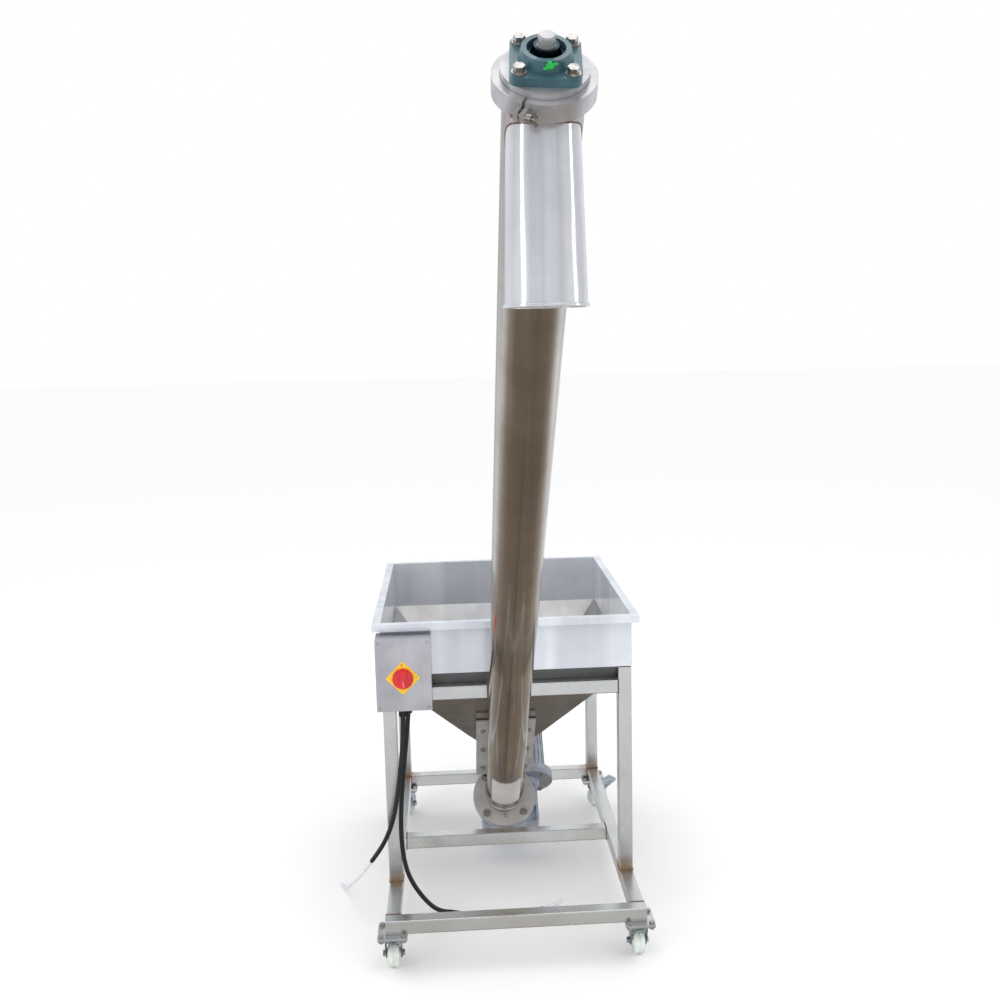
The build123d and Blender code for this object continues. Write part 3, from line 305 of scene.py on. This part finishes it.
# the gearbox's round flange faces down into shade, so past a plane its face is painted darker than the cast
# skin: painted shade
castCase = castMetal("castAluminiumCase", "#dfe6f0", "#a9b2c0", 0.45, 2.2, 0.4,
                     shadedFrom=(tubeSpot(70, 89, 180), (0, math.sin(slope), math.cos(slope))))
motorCase = castMetal("ribbedAluminiumShell", "#c3c7ce", "#9fa4ad", 0.42, 1.8, 0.4)
tealPaint = castMetal("enamelledIron", "#3f6a74", "#2b4c57", 0.30, 3.0, 0.0, 0.25, 0.6)
whiteNylon = mouldedPlastic("castNylonWheel", "#e6ece6", "#cdd6cf", 0.38, 1.5, 0.08, 1.53, 0.15)
redSwitch = mouldedPlastic("redSwitchPlastic", "#e2202e", "#c4101e", 0.22, 0.8, 0.05, 1.5, 0, 0.3)
yellowPlate = mouldedPlastic("yellowSwitchPlastic", "#fdd024", "#f6c21c", 0.30, 0.8, 0.05)
blackPlastic = mouldedPlastic("blackNylon", "#1b1c20", "#101114", 0.38, 1.0, 0.1)
blackSleeve = mouldedPlastic("blackCableSheath", "#1d1e24", "#131418", 0.42, 1.5, 0.12)
whiteJacket = mouldedPlastic("whiteCableJacket", "#e9ecf3", "#d5d9e2", 0.40, 1.5, 0.1)
rubberSeal = mouldedPlastic("blackRubber", "#17171a", "#0e0e10", 0.6, 1.0, 0.2)
# pale pink line on the switch's grip: a painted highlight along its ridge
gripHighlight = mouldedPlastic("paintedGripHighlight", "#f59aa2", "#ea7a86", 0.4, 2.0, 0.1)
greenPaint = mouldedPlastic("greenPaintDab", "#22c257", "#17a545", 0.35, 2.0, 0.3)
seamTint = platedSteel("heatTintedWeld", "#a88f7a", "#6f5a4c", 0.30, 5, 0.3)

finishOf = {
    "auger_tube": polishedPipe, "inlet_saddle": facedFlange, "tube_flanges": facedFlange,
    "cleanout_cover": satinCover, "cleanout_band": boltSteel, "discharge_spout": buffedSpout,
    "end_cap": turnedSteel, "clamp_ring": turnedSteel, "clamp_bolt": boltSteel, "clamp_wing_nut": boltSteel,
    "base_rails": polishedRail, "legs": polishedRail, "upper_rails": polishedRail, "frame_plates": polishedRail,
    "hopper_walls": brightSheet, "hopper_rim": brightSheet, "hopper_slopes": millSheet,
    "hopper_chute": shadedChuteSheet,
    "screw_shaft": turnedSteel, "screw_flight": turnedSteel, "rubber_seals": rubberSeal,
    "bearing_housing": tealPaint, "bearing_outer_ring": sealAndRecessShade, "bearing_inner_ring": sealAndRecessShade,
    "bearing_bolts": boltSteel, "chute_bolts": boltSteel, "flange_bolts": boltSteel, "caster_bolts": boltSteel,
    "cover_screws": boltSteel, "caster_balls": groundSteel, "caster_plates": zincPlate,
    "brake_pedal": zincPlate,
    "control_box": brushedCase, "control_cover": brushedCase, "switch_plate": yellowPlate,
    "switch_knob": redSwitch, "switch_body": blackPlastic, "cable_glands": blackPlastic,
    "cable_left": blackSleeve, "cable_right": blackSleeve, "cable_left_end": whiteJacket,
    "cable_right_end": whiteJacket, "gearbox_housing": castCase, "gearbox_covers": blackPlastic,
    "worm_wheel": gearBronze, "worm": darkIron, "motor_body": motorCase, "motor_stator": darkIron,
    "motor_rotor": darkIron, "motor_fan": blackPlastic, "motor_fan_cover": motorCase,
    "motor_terminal_box": motorCase,
}
for corner in ("front_left", "front_right", "rear_left", "rear_right"):
    finishOf["caster_fork_" + corner] = zincPlate
    finishOf["caster_wheel_" + corner] = whiteNylon
for name, node in nodes.items():
    node.data.materials.clear()
    node.data.materials.append(finishOf[name])
print("finishes on", len(nodes), "nodes")


def keepPiece(piece, body, finish):
    piece.data.materials.clear()
    piece.data.materials.append(finish)
    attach(piece, body)
    return piece


# ---------- helpers for small pieces ----------
def meshPiece(name, work):
    mesh = bpy.data.meshes.new(name)
    bmesh.ops.recalc_face_normals(work, faces=work.faces)
    work.to_mesh(mesh)
    work.free()
    piece = bpy.data.objects.new(name, mesh)
    bpy.context.scene.collection.objects.link(piece)
    return piece


def smooth(piece):
    for face in piece.data.polygons:
        face.use_smooth = True
    return piece


def along(points, step):
    """Places every step metres along a line of points."""
    places = []
    for start, end in zip(points, points[1:]):
        count = max(1, round((end - start).length / step))
        places += [start.lerp(end, number / count) for number in range(count)]
    return places + [points[-1]]


# how uneven a weld's ripples are, and how fast that comes and goes
beadUneven = 0.18
beadRhythm = 2.4


def scaleBead(work, place, radius, number):
    """One ripple of a weld: a round drop, a little uneven."""
    wobble = 1 + beadUneven * math.sin(number * beadRhythm)
    bmesh.ops.create_icosphere(work, subdivisions=2, radius=radius * wobble, matrix=Matrix.Translation(place))


# ---------- welds ----------
welds = {"radiusMm": 2.0, "stepMm": 2.2, "seamRadiusMm": 1.3, "cornerRadiusMm": 0.8}


def ringOf(corners):
    return [spot(*corner) for corner in corners + corners[:1]]


def footRing(x, y, size, z):
    return ringOf([(x, y, z), (x + size, y, z), (x + size, y + size, z), (x, y + size, z)])


def endRing(x, y, z, size):
    """Round the end of a tube that runs across the frame."""
    return ringOf([(x, y, z), (x, y + size, z), (x, y + size, z + size), (x, y, z + size)])


def sideRing(x, y, z, size):
    return ringOf([(x, y, z), (x + size, y, z), (x + size, y, z + size), (x, y, z + size)])


def weld(name, lines, radiusMm):
    work = bmesh.new()
    for line in lines:
        for number, place in enumerate(along(line, welds["stepMm"] / 1000)):
            scaleBead(work, place, radiusMm / 1000, number)
    return keepPiece(smooth(meshPiece(name, work)), "frame", seamTint)


tubeSize = 38
legLefts = (-350, 312)
legFronts = (0, 738)
legFoot = 150
innerFaces = (-312, 312)
baseRail = 112
crossRailFronts = (269, 738)
frontRailBack = -175
upperRail = 682
weld("footWelds", [footRing(x, y, tubeSize, legFoot) for x in legLefts for y in legFronts],
     welds["radiusMm"])
weld("railWelds", [endRing(x, y, baseRail, tubeSize) for x in innerFaces for y in crossRailFronts]
     + [sideRing(x, frontRailBack, baseRail, tubeSize) for x in legLefts]
     + [endRing(x, 0, upperRail, tubeSize) for x in innerFaces], welds["radiusMm"])

# the tube's radius, and the flared spout: radius at its top, growth per millimetre down, place
spoutSeam = {"across": 57, "topRadius": 51, "top": 1992, "taper": 0.029, "back": 1380, "steps": 72,
             "rounds": 5}


def seamPoint(angle):
    """Where the upright spout meets the tube's underside."""
    z = spoutSeam["top"]
    for attempt in range(spoutSeam["rounds"]):
        radius = spoutSeam["topRadius"] + (spoutSeam["top"] - z) * spoutSeam["taper"]
        x = radius * math.sin(angle)
        y = radius * math.cos(angle)
        height = -math.sqrt(spoutSeam["across"] ** 2 - x ** 2)
        z = height / math.cos(slope) + augerFoot + spoutSeam["back"] - y
    return spot(x, y - spoutSeam["back"], z)


seamTurns = [2 * math.pi * number / spoutSeam["steps"] for number in range(spoutSeam["steps"] + 1)]
weld("spoutWeld", [[seamPoint(angle) for angle in seamTurns]], welds["seamRadiusMm"])
saddleSeam = {"across": 47, "height": 32.2, "from": 358, "to": 710}
weld("saddleWelds", [[tubeSpot(side * saddleSeam["across"], saddleSeam["height"], place)
                      for place in (saddleSeam["from"], saddleSeam["to"])] for side in (-1, 1)],
     welds["seamRadiusMm"])
chuteSeam = {"across": 47.5, "height": 74.5, "from": 358, "to": 700}
weld("chuteWelds", [[tubeSpot(side * chuteSeam["across"], chuteSeam["height"], place)
                     for place in (chuteSeam["from"], chuteSeam["to"])] for side in (-1, 1)],
     welds["seamRadiusMm"])
wallSeam = {"x": 349.5, "front": 0.5, "back": 775.5, "low": 760, "high": 905}
weld("wallWelds", [[spot(side * wallSeam["x"], depth, height) for height in (wallSeam["low"], wallSeam["high"])]
                   for side in (-1, 1) for depth in (wallSeam["front"], wallSeam["back"])],
     welds["cornerRadiusMm"])
print("welds done")

# ---------- paint dab on the bearing ----------
# each blob: across, up the tube, half its width, half its height
dab = {"across": 2.5, "height": -36.0, "along": 2905, "thickMm": 1.6,
       "blobs": ((0, 0, 5.8, 5.2), (-6, -3.5, 3.4, 2), (6.5, 3, 3.8, 2), (-1, 4.5, 3, 3.5))}
tubeAxes = Matrix(((1, 0, 0), (0, math.cos(slope), math.sin(slope)),
                   (0, -math.sin(slope), math.cos(slope)))).transposed()


def addDab():
    work = bmesh.new()
    for x, up, halfWide, halfTall in dab["blobs"]:
        size = Matrix.Diagonal((halfWide / 1000, dab["thickMm"] / 1000, halfTall / 1000, 1))
        place = tubeSpot(dab["across"] + x, dab["height"], dab["along"] + up)
        bmesh.ops.create_icosphere(work, subdivisions=3, radius=1,
                                   matrix=Matrix.Translation(place) @ tubeAxes.to_4x4() @ size)
    keepPiece(smooth(meshPiece("paintDab", work)), "frame", greenPaint)


addDab()

# ---------- switch ----------
# line on the grip and mark on the plate: width, length, thickness; ring: outer and inner radius
switch = {"x": -287, "z": 775, "plateFace": -77, "gripFace": -101, "turn": math.radians(12),
          "line": (2.2, 17, 0.8), "lineOut": 10, "mark": (1.4, 5, 0.4), "markOut": 37, "markUp": 2,
          "ring": (2.6, 1.4), "ringSides": 24}


def boxAt(work, place, size, turn=0.0):
    """Box of the given millimetres, turned about the drawing's depth."""
    scale = Matrix.Diagonal([v / 1000 for v in size] + [1])
    lie = Matrix.Translation(place) @ Matrix.Rotation(turn, 4, "Y")
    bmesh.ops.create_cube(work, size=1, matrix=lie @ scale)


def addSwitchMarks():
    wide, tall, thick = switch["line"]
    work = bmesh.new()
    reach = switch["lineOut"]
    place = spot(switch["x"] + reach * math.sin(switch["turn"]), switch["gripFace"],
                 switch["z"] - reach * math.cos(switch["turn"]))
    boxAt(work, place, (wide, thick, tall), -switch["turn"])
    keepPiece(meshPiece("knobLine", work), "switch", gripHighlight)
    work = bmesh.new()
    wide, tall, thick = switch["mark"]
    boxAt(work, spot(switch["x"] + switch["markOut"], switch["plateFace"], switch["z"] + switch["markUp"]),
          (tall, thick, wide))
    outer, inner = switch["ring"]
    sides = switch["ringSides"]
    centre = spot(switch["x"] - switch["markUp"], switch["plateFace"] - thick / 2,
                  switch["z"] + switch["markOut"])
    rings = []
    for radius in (outer, inner):
        rings.append([work.verts.new(centre + Vector((radius * math.cos(2 * math.pi * n / sides), 0,
                                                      radius * math.sin(2 * math.pi * n / sides))) / 1000)
                      for n in range(sides)])
    faces = []
    for n in range(sides):
        after = (n + 1) % sides
        faces.append(work.faces.new((rings[0][n], rings[0][after], rings[1][after], rings[1][n])))
    bmesh.ops.recalc_face_normals(work, faces=faces)
    grown = bmesh.ops.extrude_face_region(work, geom=faces)
    moved = [item for item in grown["geom"] if isinstance(item, bmesh.types.BMVert)]
    bmesh.ops.translate(work, vec=(0, thick / 1000, 0), verts=moved)
    keepPiece(meshPiece("plateMarks", work), "frame", blackPlastic)


addSwitchMarks()

# ---------- cable glands ----------
# rib: its width round the gland and its depth
gland = {"places": ((-292, -52), (-278, -26)), "low": 661, "high": 673, "radius": 10.1, "ribs": 20,
         "rib": (1.2, 1.6)}


def addGlandRibs():
    work = bmesh.new()
    wide, deep = gland["rib"]
    for x, y in gland["places"]:
        for number in range(gland["ribs"]):
            angle = 2 * math.pi * number / gland["ribs"]
            place = spot(x + gland["radius"] * math.cos(angle), y + gland["radius"] * math.sin(angle),
                         (gland["low"] + gland["high"]) / 2)
            size = Matrix.Diagonal((deep / 1000, wide / 1000, (gland["high"] - gland["low"]) / 1000, 1))
            lie = Matrix.Translation(place) @ Matrix.Rotation(angle, 4, "Z")
            bmesh.ops.create_cube(work, size=1, matrix=lie @ size)
    keepPiece(meshPiece("glandRibs", work), "frame", blackPlastic)


addGlandRibs()

# ---------- motor flange bolts ----------
flangeBolts = {"count": 4, "firstTurn": 45, "circle": 86, "axisAcross": 70, "axisAlong": 180, "face": 90,
               "head": 6, "radius": 8}


def addFlangeBolts():
    work = bmesh.new()
    for number in range(flangeBolts["count"]):
        angle = math.radians(flangeBolts["firstTurn"] + 360 / flangeBolts["count"] * number)
        place = tubeSpot(flangeBolts["axisAcross"] + flangeBolts["circle"] * math.cos(angle),
                         flangeBolts["face"] - flangeBolts["head"] / 2,
                         flangeBolts["axisAlong"] + flangeBolts["circle"] * math.sin(angle))
        lie = Matrix.Translation(place) @ tubeAxes.to_4x4() @ Matrix.Rotation(math.radians(90), 4, "X")
        radius = flangeBolts["radius"] / 1000
        bmesh.ops.create_cone(work, cap_ends=True, segments=6, radius1=radius, radius2=radius,
                              depth=flangeBolts["head"] / 1000, matrix=lie)
    keepPiece(meshPiece("motorFlangeBolts", work), "frame", boltSteel)


addFlangeBolts()
print("small pieces done")

# ---------- cables ----------
leftCable = {
    "sheathMm": 13, "tailMm": 9,
    "sheath": [(-292, -52, 660), (-294, -54, 602), (-301, -56, 530), (-315, -57, 431), (-328, -55, 368),
               (-347, -44, 311), (-374, -6, 250), (-402, 44, 194)],
    "tail": [(-402, 44, 194), (-440, 112, 118), (-482, 192, 45), (-503, 240, 10), (-520, 275, 5)],
}
rightCable = {
    "sheathMm": 13, "tailMm": 9,
    "sheath": [(-278, -26, 660), (-285, -29, 597), (-294, -32, 520), (-304, -34, 430), (-310, -33, 345),
               (-310, -24, 268), (-303, -14, 205), (-290, -2, 155), (-268, 16, 104), (-240, 42, 52),
               (-212, 66, 16), (-172, 71, 7.2), (-118, 50, 7), (-40, 33, 7), (36, 40, 7), (92, 66, 7)],
    "tail": [(92, 66, 7), (126, 81.8, 7), (153, 110, 5)],
}


def softLine(name, points, diameterMm):
    data = bpy.data.curves.new(name, "CURVE")
    data.dimensions = "3D"
    line = data.splines.new("NURBS")
    line.points.add(len(points) - 1)
    for point, place in zip(line.points, points):
        point.co = (*spot(*place), 1)
    line.order_u = 3
    line.use_endpoint_u = True
    line.resolution_u = 12
    data.bevel_depth = diameterMm / 2000
    data.bevel_resolution = 6
    data.use_fill_caps = True
    piece = bpy.data.objects.new(name, data)
    bpy.context.scene.collection.objects.link(piece)
    return piece


def lineLength(piece):
    bare = piece.data.copy()
    bare.bevel_depth = 0
    probe = bpy.data.objects.new("probe", bare)
    mesh = bpy.data.meshes.new_from_object(probe)
    places = [v.co for v in mesh.vertices]
    total = sum((b - a).length for a, b in zip(places, places[1:]))
    bpy.data.objects.remove(probe)
    return total


def addCable(name, cable, cadSheath, cadTail):
    sheath = softLine(name + "Sheath", cable["sheath"], cable["sheathMm"])
    tail = softLine(name + "Tail", cable["tail"], cable["tailMm"])
    keepPiece(sheath, "frame", blackSleeve)
    keepPiece(tail, "frame", whiteJacket)
    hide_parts(cadSheath)
    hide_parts(cadTail)
    lineLength(sheath)
    lineLength(tail)
    print(name, round(lineLength(sheath), 3), round(lineLength(tail), 3))


addCable("leftCable", leftCable, "cable_left", "cable_left_end")
addCable("rightCable", rightCable, "cable_right", "cable_right_end")

# ---------- stage ----------
studio = {
    "floorSize": 80,
    "floorTone": "#ffffff",
    "floorRough": 0.8,
    "fillTone": "#ffffff",
    "fillStrength": 1.0,
    "windowTone": "#f4f7fc",
    "windowsAround": 2.2,
}


def addPlane(name, size, place, finish):
    mesh = bpy.data.meshes.new(name)
    work = bmesh.new()
    bmesh.ops.create_grid(work, x_segments=1, y_segments=1, size=size / 2)
    work.to_mesh(mesh)
    work.free()
    piece = bpy.data.objects.new(name, mesh)
    piece.location = place
    piece.data.materials.append(finish)
    bpy.context.scene.collection.objects.link(piece)
    return piece


def plainFinish(name, tone, rough):
    material, _, surface, _ = newFinish(name)
    surface.inputs["Base Color"].default_value = colour(tone)
    surface.inputs["Roughness"].default_value = rough
    return material


floor = addPlane("floor", studio["floorSize"], (0, 0, 0),
                 plainFinish("paleFloor", studio["floorTone"], studio["floorRough"]))
# the metal mirrors the room below instead of the pale sheet
floor.visible_glossy = False


def addLamp(name, place, target, width, height, power):
    data = bpy.data.lights.new(name, "AREA")
    data.shape = "RECTANGLE"
    data.size = width
    data.size_y = height
    data.energy = power
    lamp = bpy.data.objects.new(name, data)
    lamp.location = place
    lamp.rotation_euler = (Vector(target) - Vector(place)).to_track_quat("-Z", "Y").to_euler()
    bpy.context.scene.collection.objects.link(lamp)


addLamp("topPanel", (0, -0.5, 4.2), (0, -0.3, 0), 3, 3, 32)
addLamp("leftPanel", (-3.2, -2.2, 2.4), (0, 0, 0.9), 0.5, 2.8, 16)
addLamp("rightPanel", (3.4, -1.6, 2.0), (0, 0, 0.9), 0.4, 2.8, 14)

# what polished metal mirrors: a brown workshop floor, pale walls with windows, a lit ceiling
roomTones = [(0.00, "#857b70"), (0.12, "#8f857a"), (0.22, "#a9a39c"), (0.34, "#f2f5fb"), (0.50, "#dfe3eb"),
             (0.62, "#b7bbc4"), (0.80, "#b4b8c0"), (1.00, "#babec6")]


def addSky():
    world = bpy.data.worlds.new("studio")
    world.use_nodes = True
    bpy.context.scene.world = world
    tree = world.node_tree
    tree.nodes.clear()
    direction = addNode(tree, "ShaderNodeTexCoord").outputs["Generated"]
    split = addNode(tree, "ShaderNodeSeparateXYZ", {"Vector": direction})
    layers = addNode(tree, "ShaderNodeValToRGB", {"Fac": spread(tree, split.outputs["Z"], -1, 1, 0, 1)})
    ramp = layers.color_ramp
    while len(ramp.elements) < len(roomTones):
        ramp.elements.new(0.5)
    for element, (height, tone) in zip(ramp.elements, roomTones):
        element.position = height
        element.color = colour(tone)
    around = addNode(tree, "ShaderNodeMath", {0: split.outputs["X"], 1: split.outputs["Y"]},
                     operation="ARCTAN2")
    windows = addNode(tree, "ShaderNodeTexNoise", {"W": around.outputs[0], "Scale": studio["windowsAround"],
                                                  "Detail": 3}, noise_dimensions="1D")
    streaks = spread(tree, windows.outputs["Fac"], 0.36, 0.60, 0.72, 1.14)
    room = addNode(tree, "ShaderNodeVectorMath", {0: layers.outputs[0], "Scale": streaks},
                   operation="SCALE")
    behind = addNode(tree, "ShaderNodeMath", {0: spread(tree, split.outputs["Y"], 0.2, 0.8, 0, 1),
                                              1: spread(tree, split.outputs["Z"], 0.05, 0.25, 0, 0.9)},
                     operation="MULTIPLY")
    lit = blendColours(tree, behind.outputs[0], room.outputs[0], colour(studio["windowTone"]))
    mirrored = addNode(tree, "ShaderNodeBackground", {"Color": lit, "Strength": 1})
    path = addNode(tree, "ShaderNodeLightPath")
    strength = spread(tree, path.outputs["Is Camera Ray"], 0, 1, studio["fillStrength"], 1)
    plain = addNode(tree, "ShaderNodeBackground", {"Color": colour(studio["fillTone"]), "Strength": strength})
    both = addNode(tree, "ShaderNodeMixShader", {0: path.outputs["Is Glossy Ray"], 1: plain.outputs[0],
                                                 2: mirrored.outputs[0]})
    addNode(tree, "ShaderNodeOutputWorld", {"Surface": both.outputs[0]})


addSky()
bpy.context.scene.view_settings.view_transform = "Standard"
bpy.context.scene.view_settings.look = "None"
